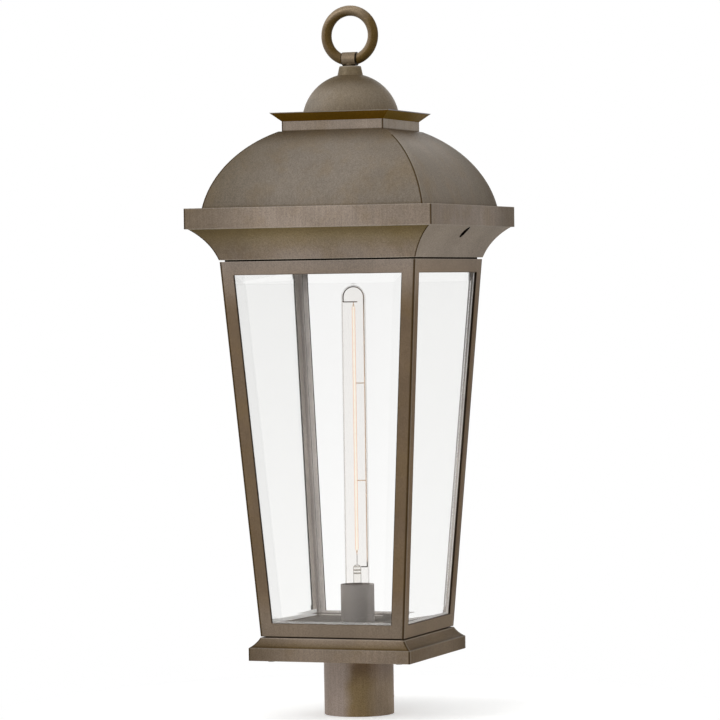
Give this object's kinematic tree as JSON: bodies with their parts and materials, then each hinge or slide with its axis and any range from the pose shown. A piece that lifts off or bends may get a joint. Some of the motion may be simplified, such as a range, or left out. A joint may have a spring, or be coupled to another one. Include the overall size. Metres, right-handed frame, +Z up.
{
  "type": "outdoor post light",
  "caption": "Square tapered outdoor post light with bevelled glass panels, a lift-off domed roof, a ring finial and a tubular lamp.",
  "frame": {"origin": "centre of the lower rim of the post fitter", "axes": "+Z up along the upright axis, the front looks along -Y, +X to the right seen from the front"},
  "size_m": [0.305, 0.305, 0.8412],
  "materials": {
    "roof_bronze": "bronze powder coat, fine speckle",
    "finial_bronze": "bronze powder coat, rubbed",
    "base_bronze": "bronze powder coat, fine speckle",
    "frame_bronze": "bronze powder coat, fine speckle",
    "panel_glass": "clear, bevelled",
    "lamp_glass": "clear",
    "filament": "warm, glowing",
    "lamp_wire": "bright wire",
    "brass": "satin",
    "black_glass": "opaque black",
    "porcelain": "glazed white",
    "black_lead": "matte",
    "white_lead": "matte",
    "green_lead": "matte",
    "connector_plastic": "matte",
    "screw_steel": "zinc"
  },
  "bodies": {
    "lantern": {"back_bottom_rail": "frame_bronze", "back_glass": "panel_glass", "back_left_post": "frame_bronze", "back_right_post": "frame_bronze", "back_top_rail": "frame_bronze", "base_moulding": "base_bronze", "base_plate": "base_bronze", "base_plate_screws": "screw_steel", "black_lead": "black_lead", "cage_floor": "frame_bronze", "cage_tie_screws": "screw_steel", "fitter_screws": "screw_steel", "front_bottom_rail": "frame_bronze", "front_glass": "panel_glass", "front_left_post": "frame_bronze", "front_right_post": "frame_bronze", "front_top_rail": "frame_bronze", "glass_clips": "screw_steel", "green_lead": "green_lead", "lampholder_base": "screw_steel", "lampholder_contact": "brass", "lampholder_insulator": "porcelain", "lampholder_shell": "brass", "left_bottom_rail": "frame_bronze", "left_glass": "panel_glass", "left_top_rail": "frame_bronze", "nipple": "screw_steel", "nipple_nut": "screw_steel", "post_fitter": "base_bronze", "right_bottom_rail": "frame_bronze", "right_glass": "panel_glass", "right_top_rail": "frame_bronze", "socket_cover": "frame_bronze", "top_frame": "frame_bronze", "top_frame_screws": "screw_steel", "white_lead": "white_lead", "wire_connectors": "connector_plastic"},
    "roof": {"roof_skirt": "roof_bronze", "roof_dome": "roof_bronze", "dome_screws": "screw_steel", "left_lock_boss": "frame_bronze", "right_lock_boss": "frame_bronze", "crown_tray": "roof_bronze", "cap_dome": "roof_bronze", "finial_collar": "finial_bronze", "eye_bolt": "finial_bronze", "finial_washer": "screw_steel", "finial_nut": "screw_steel"},
    "ring": {"finial_ring": "finial_bronze"},
    "lamp": {"bulb_cap_insulator": "black_glass", "bulb_contact": "brass", "bulb_envelope": "lamp_glass", "bulb_filament": "filament", "bulb_screw_cap": "brass", "bulb_stem": "lamp_glass", "bulb_support_wire": "lamp_wire"},
    "left_lock_screw": {"left_lock_screw": "screw_steel"},
    "right_lock_screw": {"right_lock_screw": "screw_steel"},
    "left_set_screw": {"left_set_screw": "screw_steel"},
    "right_set_screw": {"right_set_screw": "screw_steel"}
  },
  "joints": [
    {"name": "roof_lift", "type": "slide", "parent": "lantern", "child": "roof", "axis": [0, 0, 1], "range_m": [0, 0.12]},
    {"name": "ring_swing", "type": "hinge", "parent": "roof", "child": "ring", "pos_m": [0, 0, 0.77793], "axis": [1, 0, 0], "range_deg": [-120, 120]},
    {"name": "lamp_unscrew", "type": "slide", "parent": "lantern", "child": "lamp", "axis": [0, 0, 1], "range_m": [0, 0.024]},
    {"name": "left_lock_travel", "type": "slide", "parent": "roof", "child": "left_lock_screw", "axis": [-1, 0, 0], "range_m": [0, 0.008]},
    {"name": "right_lock_travel", "type": "slide", "parent": "roof", "child": "right_lock_screw", "axis": [1, 0, 0], "range_m": [0, 0.008]},
    {"name": "left_set_travel", "type": "slide", "parent": "lantern", "child": "left_set_screw", "axis": [0.7071, -0.7071, 0], "range_m": [0, 0.003]},
    {"name": "right_set_travel", "type": "slide", "parent": "lantern", "child": "right_set_screw", "axis": [-0.7071, -0.7071, 0], "range_m": [0, 0.003]}
  ]
}
